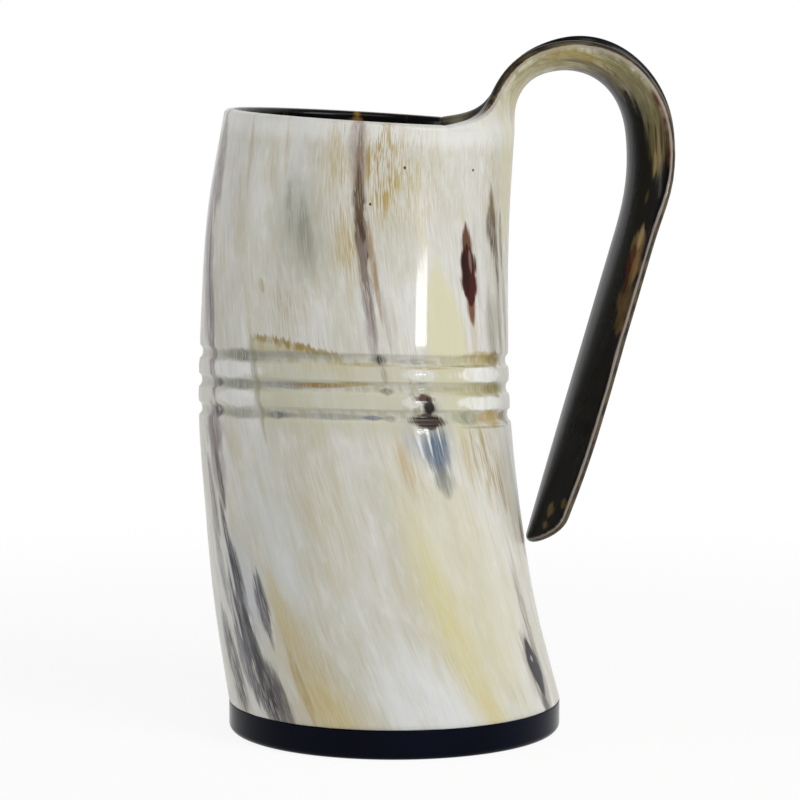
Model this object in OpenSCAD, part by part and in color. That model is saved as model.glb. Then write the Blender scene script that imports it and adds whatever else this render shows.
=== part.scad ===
// A drinking cup made from one length of ox horn. The tip end of the horn is up, the wide end is down.
// A strip of the wall was left standing at the rim, heated, and bent over and down to make the handle.
// A turned black plug closes the foot. It is glued into a seat in the horn and sealed from above.
// The cup stands on the plane z = 0, centred on the vertical axis, with its handle towards +X.

/* [Horn wall] */
// Height of the rim above the surface that the cup stands on
rim_h = 160.5; // [146:0.5:176]
// Diameter of the horn at its foot
foot_d = 87; // [80:0.5:96]
// Diameter of the horn at its rim
rim_d = 75.5; // [70:0.5:82]
// Thickness of the wall at the rim
wall_t = 3.8; // [3:0.1:4.6]
// Thickness of the wall at the foot
foot_wall_t = 5; // [4.4:0.1:6]
// How far the middle of the horn bows away from the handle
bow = 10.2; // [0:0.2:12]
// How far the rim stands behind the foot
lean = 4; // [0:0.2:6]
// Slope of the rim down towards the handle, in degrees
rim_tilt = 3.5; // [0:0.1:5]
// Reach of the rounding on the rim and on the edges of the strip
edge_round = 1.4; // [0.8:0.1:1.8]

/* [Grooves] */
// Number of grooves cut round the middle of the cup
groove_n = 3; // [1:1:5]
// Height of the middle of the grooves above the surface that the cup stands on
groove_h = 91; // [72:0.5:102]
// Distance from one groove to the next
groove_pitch = 7.2; // [5.4:0.1:9]
// Width of a groove
groove_w = 3.2; // [2:0.1:4.2]
// Depth of a groove
groove_depth = 0.9; // [0.4:0.1:1.4]
// Slope of the grooves down towards the back, in degrees
groove_tilt = 4.9; // [0:0.1:6]

/* [Handle strip] */
// Length of the strip from the rim to its free end, along its middle
strip_l = 158; // [146:0.5:168]
// Width of the strip where it goes over the top
strip_w = 35.6; // [30:0.2:37]
// Radius of the strip's own cross curve at its tightest, on the way up to the top
strip_curl_r = 17; // [17:0.5:24]
// Thickness of the strip at its free end
strip_tip_t = 2.6; // [2:0.1:3.8]
// Lean of the strip as it leaves the rim, in degrees from upright
root_lean = 2; // [0:0.5:5]
// Turn of the first bend, above the rim, in degrees
root_bend = 64; // [60:0.5:68]
// Turn of the bend over the top, in degrees
top_bend = 105; // [100:0.5:110]
// Turn of the slow bend down the side, in degrees
side_bend = 25; // [22:0.5:28]
// Twist of the strip at its most, past the top, in degrees
strip_roll = 7.8; // [0:0.2:10]
// Height above the rim in which the strip's edges flare out into it
flare_h = 19; // [14:0.5:22]
// Angle round the rim from the handle to the front end of the flare
flare_front = 63; // [56:1:66]

/* [Base plug] */
// Height of the plug's lip, which shows below the horn
lip_h = 7.8; // [5:0.1:12]
// Radius of the lip's lower edge
lip_round = 1.8; // [0.8:0.1:3]
// Height of the spigot that stands up inside the horn
spigot_h = 6; // [4:0.5:9]
// Thickness of the horn round the plug's seat, at the foot
seat_wall = 4.8; // [4.2:0.1:6]
// Thickness of the glue between the spigot and the horn
glue_gap = 0.3; // [0.15:0.05:0.6]
// Thickness of the sealing layer over the spigot
seal_t = 1.2; // [0.6:0.1:2.5]
// How far the sealing layer climbs the wall at its edge
seal_climb = 1; // [0.4:0.1:2]

/* [Hidden] */

// Clear space between the flats of the seat and the glue's outer face
seat_clear = 0.02;
// Height over which the seat runs out into the natural bore
seat_runout = 4;
seat_r = foot_d / 2 - seat_wall;
spigot_r = seat_r - glue_gap;
seat_h = spigot_h + seal_t + seal_climb;
wall_h = rim_h - edge_round - lip_h;
groove_span = (groove_n - 1) * groove_pitch + groove_w;

// The horn at seven even heights from foot to rim: shares of the taper, the bow, the lean and the two slopes
taper_shares = [0, 0.22, 0.38, 0.47, 0.6, 0.74, 1];
bow_shares = [0, 0.49, 0.8, 1, 0.99, 0.89, 0.61];
lean_shares = [0, 0.16, 0.37, 0.64, 0.86, 1, 1];
rim_tilt_shares = [0, 0.2, 0.36, 0.47, 0.64, 0.84, 1];
groove_tilt_shares = [0, 0.44, 0.85, 1, 0.76, 0.42, 0.08];

// One groove across its width: shares of half its width, and of its depth there
groove_shares = [[-1, 0], [-0.62, 0.8], [0, 1], [0.62, 0.8], [1, 0]];

// Where each bend starts and ends along the strip, and how far the strip turns there
bend_shares = [[0.01, 0.128], [0.071, 0.323], [0.261, 0.485]];
bend_turns = [root_bend, top_bend, side_bend];

// The strip at even steps from rim to free end: shares of its width, its cross curve, its thinning and its twist
width_shares = [0.74, 0.71, 0.85, 0.93, 0.97, 0.95, 0.935, 0.9, 0.83];
curl_shares = [0, 0.88, 1, 0.93, 0.69, 0.69, 0.69, 0.69, 0.69];
thin_shares = [0, 0.5, 0.6, 0.8, 1, 1, 1, 1, 1];
roll_shares = [0, -0.82, -0.27, 0.44, 0.83, 0.99, 1, 0.95, 0.63, 0.51, 0.47, 0.37, 0.28, 0.2, 0.22, 0.33, 0.45];

// How the flare's edge swings from the rim into the strip: 1 is straight, more is rounder
flare_power = 4.5;
// Length of the rounded free end, as a share of half the strip's width
tip_share = 0.5;
// How near to a full half-round the last row of the free end comes, in degrees
tip_turn = 82;

// Columns round the wall, columns across the strip, and rows of each stretch
wall_cols = 56;
strip_cols = 18;
lower_rows = 9;
upper_rows = 9;
bore_rows = 11;
root_rows = 10;
arch_rows = 10;
arm_rows = 7;
tip_rows = 6;
edge_steps = 5;
path_steps = 6;
// How closely the root's rows crowd towards the rim: 1 is even
root_crowd = 1.6;

horn_colour = [0.80, 0.76, 0.68];
plug_colour = [0.05, 0.05, 0.06];
glue_colour = [0.78, 0.66, 0.42];
seal_colour = [0.13, 0.08, 0.05];

// Plain interpolation, and smooth curves through evenly spaced values
function lerp(a, b, f) = a + (b - a) * f;
function smooth(f) = let (g = max(0, min(1, f))) g * g * (3 - 2 * g);
function unit(v) = v / norm(v);
function knot(v, k) =
    let (last = len(v) - 1)
    k < 0 ? 2 * v[0] - v[1] : k > last ? 2 * v[last] - v[last - 1] : v[k];
function spline(v, f) =
    let (
        x = f * (len(v) - 1),
        k = max(0, min(floor(x), len(v) - 2)),
        t = x - k,
        a = knot(v, k - 1), b = knot(v, k), c = knot(v, k + 1), d = knot(v, k + 2)
    )
    b + t / 2 * (c - a + t * (2 * a - 5 * b + 4 * c - d + t * (3 * (b - c) + d - a)));

// The wall: s is the share of the way from foot to rim, a the angle round from the handle, sink the
// distance in from the outer face
function level(z) = (z - lip_h) / wall_h;
function wall_r(s) = lerp(foot_d, rim_d, spline(taper_shares, s)) / 2;
function wall_thick(s) = lerp(foot_wall_t, wall_t, smooth(s));
function wall_point(s, a, sink = 0) =
    let (
        x = (wall_r(s) - sink) * cos(a),
        y = (wall_r(s) - sink) * sin(a)
    )
    [
        x - bow * spline(bow_shares, s),
        y + lean * spline(lean_shares, s),
        lip_h + s * wall_h - x * tan(rim_tilt) * spline(rim_tilt_shares, s)
            - y * tan(groove_tilt) * spline(groove_tilt_shares, s)
    ];
function column_angle(i) = 360 * i / wall_cols - flare_front;
function seat_point(z, i) =
    let (r = (seat_r + seat_clear) / cos(180 / wall_cols))
    [r * cos(column_angle(i)), r * sin(column_angle(i)), z];

// Rows of the outer face: a share of the height and how far the row is cut in
groove_from = groove_h - groove_span / 2;
groove_to = groove_h + groove_span / 2;
outer_rows = concat(
    [for (k = [0:lower_rows - 1]) [level(groove_from) * k / lower_rows, 0]],
    [for (g = [0:groove_n - 1], p = groove_shares)
        [level(groove_from + groove_w / 2 * (1 + p[0]) + g * groove_pitch), groove_depth * p[1]]],
    [for (k = [1:upper_rows]) [lerp(level(groove_to), 1, k / upper_rows), 0]]
);
bore_from = level(lip_h + seat_h + seat_runout);
bore_levels = [for (k = [0:bore_rows]) lerp(bore_from, 1, k / bore_rows)];

// The strip: s is the share of the way from rim to free end
tip_l = tip_share * strip_w / 2;
tip_from = 1 - tip_l / strip_l;
flare_to = flare_h / strip_l;
rim_r = rim_d / 2;
flare_back = 360 * strip_cols / wall_cols - flare_front;
function strip_rows_from(a, b, n) = [for (k = [1:n]) lerp(a, b, k / n)];
strip_levels = concat(
    [0],
    [for (k = [1:root_rows]) bend_shares[0][1] * pow(k / root_rows, root_crowd)],
    strip_rows_from(bend_shares[0][1], bend_shares[1][1], arch_rows),
    strip_rows_from(bend_shares[1][1], tip_from, arm_rows),
    [for (k = [1:tip_rows]) lerp(tip_from, 1, sin(tip_turn * k / tip_rows))]
);
strip_last = len(strip_levels) - 1;

// Heading of the strip from upright, and its middle line found by walking along that heading
function heading(s, b = 0) =
    b == len(bend_turns) ? root_lean
        : bend_turns[b] * smooth((s - bend_shares[b][0]) / (bend_shares[b][1] - bend_shares[b][0]))
            + heading(s, b + 1);
function walk(s0, s1, k = 0) =
    k == path_steps ? [0, 0, 0]
        : let (h = heading(lerp(s0, s1, (k + 0.5) / path_steps)))
            strip_l * (s1 - s0) / path_steps * [sin(h), 0, cos(h)] + walk(s0, s1, k + 1);
strip_path = [
    for (k = 0, p = wall_point(1, 0); k <= strip_last;
        p = k < strip_last ? p + walk(strip_levels[k], strip_levels[k + 1]) : p, k = k + 1) p
];

function strip_curl(s) = lerp(rim_r, strip_curl_r, spline(curl_shares, s));
function strip_thick(s) = lerp(wall_t, strip_tip_t, spline(thin_shares, s));
function strip_half(s) =
    let (tip = max(0, (s - tip_from) / (1 - tip_from)))
    strip_w / 2 * spline(width_shares, s) * sqrt(1 - tip * tip);
function edge_angle(s, root_angle) =
    asin(strip_half(s) / strip_curl(s))
        + (root_angle - asin(strip_half(0) / rim_r)) * pow(max(0, 1 - s / flare_to), flare_power);
function strip_angle(s, i) = lerp(-edge_angle(s, flare_front), edge_angle(s, flare_back), i / strip_cols);
function strip_out(k, i) =
    let (
        h = heading(strip_levels[k]),
        roll = strip_roll * spline(roll_shares, strip_levels[k]),
        a = strip_angle(strip_levels[k], i),
        face = [cos(h), 0, -sin(h)],
        side = [0, 1, 0]
    )
    cos(a) * (face * cos(roll) + side * sin(roll)) + sin(a) * (side * cos(roll) - face * sin(roll));
function strip_point(k, i, sink = 0) =
    let (
        s = strip_levels[k],
        r = strip_curl(s),
        h = heading(s),
        roll = strip_roll * spline(roll_shares, s),
        a = strip_angle(s, i),
        face = [cos(h) * cos(roll), sin(roll), -sin(h) * cos(roll)],
        rim_rise = r * (1 - cos(a)) * tan(rim_tilt) * max(0, 1 - s / flare_to)
    )
    strip_path[k] - r * face + (r - sink) * strip_out(k, i) + rim_rise * [sin(h), 0, cos(h)];

// Numbering of the points: outer wall, outer strip, inner wall, inner strip, rounded edge
outer_last = len(outer_rows) - 1;
inner_last = len(bore_levels) + 1;
outer_strip_at = (outer_last + 1) * wall_cols;
inner_wall_at = outer_strip_at + strip_last * (strip_cols + 1);
inner_strip_at = inner_wall_at + (inner_last + 1) * wall_cols;
edge_at = inner_strip_at + strip_last * (strip_cols + 1);
function outer_id(j, i) = j * wall_cols + i % wall_cols;
function inner_id(j, i) = inner_wall_at + j * wall_cols + i % wall_cols;
function outer_strip_id(k, i) =
    k == 0 ? outer_id(outer_last, i) : outer_strip_at + (k - 1) * (strip_cols + 1) + i;
function inner_strip_id(k, i) =
    k == 0 ? inner_id(inner_last, i) : inner_strip_at + (k - 1) * (strip_cols + 1) + i;

sheet_points = concat(
    [for (row = outer_rows, i = [0:wall_cols - 1]) wall_point(row[0], column_angle(i), row[1])],
    [for (k = [1:strip_last], i = [0:strip_cols]) strip_point(k, i)],
    [for (z = [lip_h, lip_h + seat_h], i = [0:wall_cols - 1]) seat_point(z, i)],
    [for (s = bore_levels, i = [0:wall_cols - 1]) wall_point(s, column_angle(i), wall_thick(s))],
    [for (k = [1:strip_last], i = [0:strip_cols]) strip_point(k, i, strip_thick(strip_levels[k]))]
);

// The edge runs round the rim, up the front of the strip, round its free end and down its back
edge_loop = concat(
    [for (i = [strip_cols:wall_cols]) [0, i % wall_cols]],
    [for (k = [1:strip_last]) [k, 0]],
    [for (i = [1:strip_cols - 1]) [strip_last, i]],
    [for (k = [strip_last:-1:1]) [k, strip_cols]]
);
edge_n = len(edge_loop);
function edge_outer(q) = outer_strip_id(edge_loop[q % edge_n][0], edge_loop[q % edge_n][1]);
function edge_inner(q) = inner_strip_id(edge_loop[q % edge_n][0], edge_loop[q % edge_n][1]);
function edge_point(q, m) =
    let (
        outer = sheet_points[edge_outer(q)],
        inner = sheet_points[edge_inner(q)],
        along = sheet_points[edge_outer(q + 1)] - sheet_points[edge_outer(q + edge_n - 1)],
        away = unit(cross(outer - inner, along)),
        turn = 180 * m / edge_steps
    )
    (outer + inner) / 2 + (outer - inner) / 2 * cos(turn) + away * edge_round * sin(turn);
function edge_id(q, m) =
    m == 0 ? edge_outer(q) : m == edge_steps ? edge_inner(q) : edge_at + (m - 1) * edge_n + q % edge_n;
edge_points = [for (m = [1:edge_steps - 1], q = [0:edge_n - 1]) edge_point(q, m)];

function quad(a, b, c, d) = [[a, b, c], [a, c, d]];
horn_faces = concat(
    [for (j = [0:outer_last - 1], i = [0:wall_cols - 1],
        f = quad(outer_id(j, i), outer_id(j + 1, i), outer_id(j + 1, i + 1), outer_id(j, i + 1))) f],
    [for (j = [0:inner_last - 1], i = [0:wall_cols - 1],
        f = quad(inner_id(j, i), inner_id(j, i + 1), inner_id(j + 1, i + 1), inner_id(j + 1, i))) f],
    [for (i = [0:wall_cols - 1],
        f = quad(inner_id(0, i), outer_id(0, i), outer_id(0, i + 1), inner_id(0, i + 1))) f],
    [for (k = [0:strip_last - 1], i = [0:strip_cols - 1],
        f = quad(outer_strip_id(k, i), outer_strip_id(k + 1, i),
            outer_strip_id(k + 1, i + 1), outer_strip_id(k, i + 1))) f],
    [for (k = [0:strip_last - 1], i = [0:strip_cols - 1],
        f = quad(inner_strip_id(k, i), inner_strip_id(k, i + 1),
            inner_strip_id(k + 1, i + 1), inner_strip_id(k + 1, i))) f],
    [for (m = [0:edge_steps - 1], q = [0:edge_n - 1],
        f = quad(edge_id(q, m), edge_id(q, m + 1), edge_id(q + 1, m + 1), edge_id(q + 1, m))) f]
);

// The horn: wall, grooves, rim and handle strip, all one piece of horn
module horn_body() {
    color(horn_colour)
        polyhedron(points = concat(sheet_points, edge_points), faces = horn_faces, convexity = 6);
}

// The black plug: a lip that carries the horn, rounded below, and a spigot inside it
module base_plug() {
    color(plug_colour)
        rotate_extrude($fn = 128) {
            translate([0, lip_round]) square([foot_d / 2, lip_h - lip_round]);
            square([foot_d / 2 - lip_round, lip_h]);
            translate([foot_d / 2 - lip_round, lip_round]) circle(r = lip_round, $fn = 64);
            square([spigot_r, lip_h + spigot_h]);
        }
}

// The glue that fills the space between the spigot and its seat
module glue_ring() {
    color(glue_colour)
        translate([0, 0, lip_h])
            difference() {
                cylinder(h = spigot_h, r = seat_r, $fn = 128);
                translate([0, 0, -spigot_h]) cylinder(h = 3 * spigot_h, r = spigot_r, $fn = 128);
            }
}

// The sealing layer on top of the spigot, which climbs the wall a little at its edge
module floor_seal() {
    color(seal_colour)
        translate([0, 0, lip_h + spigot_h])
            rotate_extrude($fn = 128)
                difference() {
                    square([seat_r, seal_t + seal_climb]);
                    translate([0, seal_t]) square([seat_r - seal_climb, 2 * seal_climb]);
                    translate([seat_r - seal_climb, seal_t + seal_climb]) circle(r = seal_climb, $fn = 48);
                }
}

horn_body();
base_plug();
glue_ring();
floor_seal();
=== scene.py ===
# %% [markdown]
# # A drinking cup made from one length of ox horn
# The real cup is a length of horn, tip end up. A strip of its wall was left standing at the rim,
# heated and bent over into the handle. A black plug closes the foot.
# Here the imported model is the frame: it says where every piece is. Each step below gives one
# piece its final shape or its finish, in the same place and at the same size.

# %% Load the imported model
import math

import bpy
import numpy as np
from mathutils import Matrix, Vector


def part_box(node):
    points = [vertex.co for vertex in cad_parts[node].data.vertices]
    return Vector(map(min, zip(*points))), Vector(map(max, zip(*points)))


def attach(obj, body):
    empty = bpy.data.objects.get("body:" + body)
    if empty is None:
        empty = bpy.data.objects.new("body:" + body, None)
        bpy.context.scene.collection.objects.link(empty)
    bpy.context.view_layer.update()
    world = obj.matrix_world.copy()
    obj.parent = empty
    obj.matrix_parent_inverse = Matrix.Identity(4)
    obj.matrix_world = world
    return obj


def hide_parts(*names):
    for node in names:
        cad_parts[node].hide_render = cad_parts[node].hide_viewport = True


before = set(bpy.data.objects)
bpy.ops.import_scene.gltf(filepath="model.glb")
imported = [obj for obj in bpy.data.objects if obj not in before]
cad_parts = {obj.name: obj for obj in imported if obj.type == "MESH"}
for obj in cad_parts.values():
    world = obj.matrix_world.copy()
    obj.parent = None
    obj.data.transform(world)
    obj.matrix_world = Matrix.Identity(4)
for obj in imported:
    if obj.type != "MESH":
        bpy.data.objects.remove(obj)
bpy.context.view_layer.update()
MM = 0.001
print("packed nodes:", sorted(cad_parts))

# %% [markdown]
# ## Small helpers
# Colours are written as sRGB hex values, because that is how a colour is read off a screen or a
# chart, and one function turns them into the linear values that shaders use. Another small
# function adds a node with its settings and its links, so that a material reads as a list.


# %% Colour and node helpers
def colour(code):
    """A hex colour such as #a0b0c0 as linear red, green, blue and alpha."""
    shares = [int(code[i:i + 2], 16) / 255 for i in (1, 3, 5)]
    return (*(c / 12.92 if c <= 0.04045 else ((c + 0.055) / 1.055) ** 2.4 for c in shares), 1.0)


def add(tree, kind, feeds=(), **settings):
    """Adds a node. Settings are its own properties. Feeds go to its inputs, in order or by name.

    A feed is a value, a socket, or a node that stands for its first output.
    """
    made = tree.nodes.new(kind)
    for name, value in settings.items():
        setattr(made, name, value)
    for socket, value in feeds.items() if isinstance(feeds, dict) else enumerate(feeds):
        if isinstance(value, bpy.types.Node):
            value = value.outputs[0]
        if isinstance(value, bpy.types.NodeSocket):
            tree.links.new(value, made.inputs[socket])
        else:
            made.inputs[socket].default_value = value
    return made


def new_material(name):
    """A material with an empty node tree and an output node."""
    material = bpy.data.materials.new(name)
    material.use_nodes = True
    material.node_tree.nodes.clear()
    add(material.node_tree, "ShaderNodeOutputMaterial")
    return material


def show(material, shader):
    """Sends a shader node to the material's output."""
    output = material.node_tree.nodes["Material Output"]
    material.node_tree.links.new(shader.outputs[0], output.inputs["Surface"])


# %% [markdown]
# ## Camera
# The photograph looks slightly down on the cup from a metre away, with the handle to the right.
# A long lens keeps the upright sides nearly parallel.

# %% Camera
CAMERA_TURN = -4.0
CAMERA_DISTANCE = 1000.0
CAMERA_HEIGHT = 207.0
CAMERA_TARGET = Vector((1.5, 0.0, 86.7))
LENS = 173.5


def round_the_cup(turn, distance, height):
    """A place in metres: turn is in degrees to the right of straight in front."""
    a = math.radians(turn)
    return Vector((
        CAMERA_TARGET.x + math.sin(a) * distance,
        CAMERA_TARGET.y - math.cos(a) * distance,
        height,
    )) * MM


def aim(placed, target):
    """Turns a camera or a lamp towards a place."""
    placed.rotation_euler = (target - placed.location).to_track_quat("-Z", "Y").to_euler()


camera = bpy.data.objects.new("camera", bpy.data.cameras.new("camera"))
bpy.context.collection.objects.link(camera)
camera.location = round_the_cup(CAMERA_TURN, CAMERA_DISTANCE, CAMERA_HEIGHT)
camera.data.lens = LENS
camera.data.sensor_width = 36.0
aim(camera, CAMERA_TARGET * MM)
bpy.context.scene.camera = camera
bpy.context.scene.view_settings.view_transform = "Standard"
print("camera at mm:", [round(c / MM) for c in camera.location])

# %% [markdown]
# ## Floor, backdrop and light
# The photograph has a plain white surround. The floor and the backdrop look white to the camera,
# and to glossy and clear surfaces, while the lamps light the cup at a plain level. A share of the
# floor stays an ordinary pale surface, so that it still shows the cup's soft shadow.

# %% Floor and backdrop
FLOOR_HALF = 3000.0
BACKDROP_RADIUS = 2400.0
BACKDROP_HEIGHT = 2600.0
BACKDROP_STEPS = 48
SHADOW_SHARE = 0.1
SHADOW_REACH = (0.14, 0.4)
FLOOR_CORNERS = ((-1, -1), (1, -1), (1, 1), (-1, 1))


def mesh_object(name, points, faces):
    """A new object in the scene from points in metres and faces."""
    mesh = bpy.data.meshes.new(name)
    mesh.from_pydata(points, [], faces)
    mesh.validate()
    made = bpy.data.objects.new(name, mesh)
    bpy.context.collection.objects.link(made)
    return made


def white_surround(name, plain_share):
    """Looks white to the camera and in reflections. Near the cup a share still takes its shadow."""
    material = new_material(name)
    tree = material.node_tree
    path = add(tree, "ShaderNodeLightPath").outputs
    seen = add(tree, "ShaderNodeMath", (path["Is Camera Ray"], path["Is Glossy Ray"]), operation="MAXIMUM")
    seen = add(tree, "ShaderNodeMath", (seen, path["Is Transmission Ray"]), operation="MAXIMUM")
    place = add(tree, "ShaderNodeTexCoord").outputs["Object"]
    distance = add(tree, "ShaderNodeVectorMath", (place,), operation="LENGTH").outputs["Value"]
    white_share = add(tree, "ShaderNodeMapRange", (distance, *SHADOW_REACH, 1 - plain_share, 1.0),
                      interpolation_type="SMOOTHSTEP")
    share = add(tree, "ShaderNodeMath", (seen, white_share), operation="MULTIPLY")
    plain = add(tree, "ShaderNodeBsdfDiffuse", {"Color": colour("#f4f4f2")})
    white = add(tree, "ShaderNodeEmission", {"Color": colour("#ffffff"), "Strength": 1.0})
    show(material, add(tree, "ShaderNodeMixShader", (share, plain, white)))
    return material


floor_points = [(x * FLOOR_HALF * MM, y * FLOOR_HALF * MM, 0) for x, y in FLOOR_CORNERS]
floor = mesh_object("floor", floor_points, [(0, 1, 2, 3)])
floor.data.materials.append(white_surround("pale_floor_paper", SHADOW_SHARE))

backdrop_turns = [math.pi * k / BACKDROP_STEPS for k in range(BACKDROP_STEPS + 1)]
backdrop_points = [
    (BACKDROP_RADIUS * MM * math.cos(a), BACKDROP_RADIUS * MM * math.sin(a), z * MM)
    for z in (0, BACKDROP_HEIGHT) for a in backdrop_turns
]
row = BACKDROP_STEPS + 1
backdrop = mesh_object("backdrop", backdrop_points,
                       [(k + 1, k, k + row, k + row + 1) for k in range(BACKDROP_STEPS)])
backdrop.data.materials.append(white_surround("pale_backdrop_paper", 0.0))

# %% Sky light
SKY_LEVEL = 0.19
world = bpy.data.worlds.new("studio")
bpy.context.scene.world = world
world.use_nodes = True
world.node_tree.nodes.clear()
tree = world.node_tree
path = add(tree, "ShaderNodeLightPath").outputs
seen = add(tree, "ShaderNodeMath", (path["Is Camera Ray"], path["Is Transmission Ray"]), operation="MAXIMUM")
sky = add(tree, "ShaderNodeBackground", {"Color": colour("#ffffff"), "Strength": SKY_LEVEL})
white = add(tree, "ShaderNodeBackground", {"Color": colour("#ffffff"), "Strength": 1.0})
add(tree, "ShaderNodeOutputWorld", {"Surface": add(tree, "ShaderNodeMixShader", (seen, sky, white))})


# %% Studio lamps
LAMP_AIM = Vector((0.0, 0.0, 90.0))
LAMPS = (
    # name, turn, distance, height, width, tall, watts
    ("key_lamp", 48, 1500, 1100, 900, 900, 15),
    ("small_near_lamp", 44, 400, 107, 62, 24, 0.28),
    ("left_fill_lamp", -80, 1300, 160, 700, 700, 6.5),
    ("top_lamp", 10, 900, 1700, 1100, 1100, 9),
)


def soft_box(name, turn, distance, height, width, tall, watts):
    """A flat studio lamp. Places and sizes are in mm, the turn in degrees from straight in front."""
    lamp = bpy.data.lights.new(name, "AREA")
    lamp.shape = "RECTANGLE"
    lamp.size = width * MM
    lamp.size_y = tall * MM
    lamp.energy = watts
    placed = bpy.data.objects.new(name, lamp)
    bpy.context.collection.objects.link(placed)
    placed.location = round_the_cup(turn, distance, height)
    aim(placed, LAMP_AIM * MM)


for lamp_row in LAMPS:
    soft_box(*lamp_row)

# %% [markdown]
# ## The horn sheet
# Wall, rim and handle strip are one piece of horn, so they are one mesh here too. Its shape
# follows a rule: rings from foot to rim whose radius, sideways bow and slope change smoothly, and
# then a strip that walks along a bent line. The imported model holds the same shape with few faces,
# and this step works it out again with many, from the same sizes in millimetres.

# %% Sizes of the horn
LIP_H = 7.8
RIM_H = 160.5
FOOT_D = 87.0
RIM_D = 75.5
WALL_T = 3.8
FOOT_WALL_T = 5.0
BOW = 10.2
LEAN = 4.0
RIM_TILT = math.radians(3.5)
GROOVE_TILT = math.radians(4.9)
EDGE_ROUND = 1.4
WALL_H = RIM_H - EDGE_ROUND - LIP_H
SEAT_WALL = 4.8
SEAT_CLEAR = 0.02
SEAT_H = 8.2
SEAT_RUNOUT = 4.0
TAPER_SHARES = (0, 0.22, 0.38, 0.47, 0.6, 0.74, 1)
BOW_SHARES = (0, 0.49, 0.8, 1, 0.99, 0.89, 0.61)
LEAN_SHARES = (0, 0.16, 0.37, 0.64, 0.86, 1, 1)
RIM_TILT_SHARES = (0, 0.2, 0.36, 0.47, 0.64, 0.84, 1)
GROOVE_TILT_SHARES = (0, 0.44, 0.85, 1, 0.76, 0.42, 0.08)

# %% Sizes of the handle strip
STRIP_L = 158.0
STRIP_W = 35.6
STRIP_CURL_R = 17.0
STRIP_TIP_T = 2.6
ROOT_LEAN = 2.0
STRIP_BENDS = ((0.01, 0.128, 64.0), (0.071, 0.323, 105.0), (0.261, 0.485, 25.0))
STRIP_ROLL = 7.8
FLARE_H = 19.0
FLARE_FRONT = 63.0
FLARE_POWER = 4.5
TIP_SHARE = 0.5
WIDTH_SHARES = (0.74, 0.71, 0.85, 0.93, 0.97, 0.95, 0.935, 0.9, 0.83)
CURL_SHARES = (0, 0.88, 1, 0.93, 0.69, 0.69, 0.69, 0.69, 0.69)
THIN_SHARES = (0, 0.5, 0.6, 0.8, 1, 1, 1, 1, 1)
ROLL_SHARES = (
    0, -0.82, -0.27, 0.44, 0.83, 0.99, 1, 0.95, 0.63, 0.51, 0.47, 0.37, 0.28, 0.2, 0.22, 0.33, 0.45,
)
RIM_R = RIM_D / 2
TIP_FROM = 1 - TIP_SHARE * STRIP_W / 2 / STRIP_L
FLARE_TO = FLARE_H / STRIP_L

# %% [markdown]
# The columns round the wall are numbered from the front end of the handle's flare. The first
# 90 of the 280 carry on into the strip, so wall and strip share the same points along the rim.

# %% How fine the mesh is
WALL_COLS = 280
STRIP_COLS = 90
GROOVE_BAND = (80.5, 101.5)
LOWER_ROWS, BAND_ROWS, UPPER_ROWS = 46, 84, 36
BORE_ROWS = 34
ROOT_ROWS, ARCH_ROWS, ARM_ROWS, TIP_ROWS = 30, 34, 36, 14
EDGE_STEPS = 10
ROOT_CROWD = 1.6
FOOT_CHAMFER = 0.3
PATH_STEPS = 3000
TIP_LAST_TURN = 86
HORN_CREASE = 50
FLARE_BACK = 360 * STRIP_COLS / WALL_COLS - FLARE_FRONT


# %% Smooth curves through a few shares
def spline(values, f):
    """A smooth curve through evenly spaced values, at shares f of the way along."""
    v = np.asarray(values, float)
    ends = np.concatenate([[2 * v[0] - v[1]], v, [2 * v[-1] - v[-2]]])
    x = np.asarray(f, float) * (len(v) - 1)
    k = np.clip(np.floor(x), 0, len(v) - 2).astype(int)
    t = x - k
    a, b, c, d = (ends[k + i] for i in range(4))
    return b + t / 2 * (c - a + t * (2 * a - 5 * b + 4 * c - d + t * (3 * (b - c) + d - a)))


def ease(f):
    """Goes smoothly from 0 to 1."""
    g = np.clip(f, 0, 1)
    return g * g * (3 - 2 * g)


def between(a, b, f):
    """The value a share f of the way from a to b."""
    return a + (b - a) * f


def stack(x, y, z):
    """Three grids of numbers as one grid of points."""
    return np.stack(np.broadcast_arrays(x, y, z), -1)


# %% The wall's rule
def wall_radius(s):
    """Radius of the outer face, s going from 0 at the foot to 1 at the rim."""
    return between(FOOT_D, RIM_D, spline(TAPER_SHARES, s)) / 2


def wall_points(s, a, sink):
    """Points of the wall at turn a round from the handle, sunk in from the outer face."""
    x = (wall_radius(s) - sink) * np.cos(a)
    y = (wall_radius(s) - sink) * np.sin(a)
    slope = x * math.tan(RIM_TILT) * spline(RIM_TILT_SHARES, s)
    slope = slope + y * math.tan(GROOVE_TILT) * spline(GROOVE_TILT_SHARES, s)
    return stack(x - BOW * spline(BOW_SHARES, s), y + LEAN * spline(LEAN_SHARES, s),
                 LIP_H + s * WALL_H - slope)


def level(z):
    """The share of the wall's height at a height in mm."""
    return (z - LIP_H) / WALL_H


# %% The strip's rule
def heading(s):
    """Lean of the strip from upright, in radians, s going from the rim to the free end."""
    return np.radians(ROOT_LEAN + sum(turn * ease((s - start) / (end - start))
                                      for start, end, turn in STRIP_BENDS))


def strip_middle(s):
    """The strip's middle line, found by walking along its heading from the rim."""
    ends = np.linspace(0, 1, PATH_STEPS + 1)
    step = STRIP_L / PATH_STEPS
    lean = heading((ends[1:] + ends[:-1]) / 2)
    along_x = np.concatenate([[0], np.cumsum(step * np.sin(lean))])
    along_z = np.concatenate([[0], np.cumsum(step * np.cos(lean))])
    start = wall_points(np.array(1.0), np.array(0.0), 0)
    return stack(start[0] + np.interp(s, ends, along_x), start[1], start[2] + np.interp(s, ends, along_z))


def strip_curl(s):
    """Radius of the hollow across the strip."""
    return between(RIM_R, STRIP_CURL_R, spline(CURL_SHARES, s))


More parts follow.
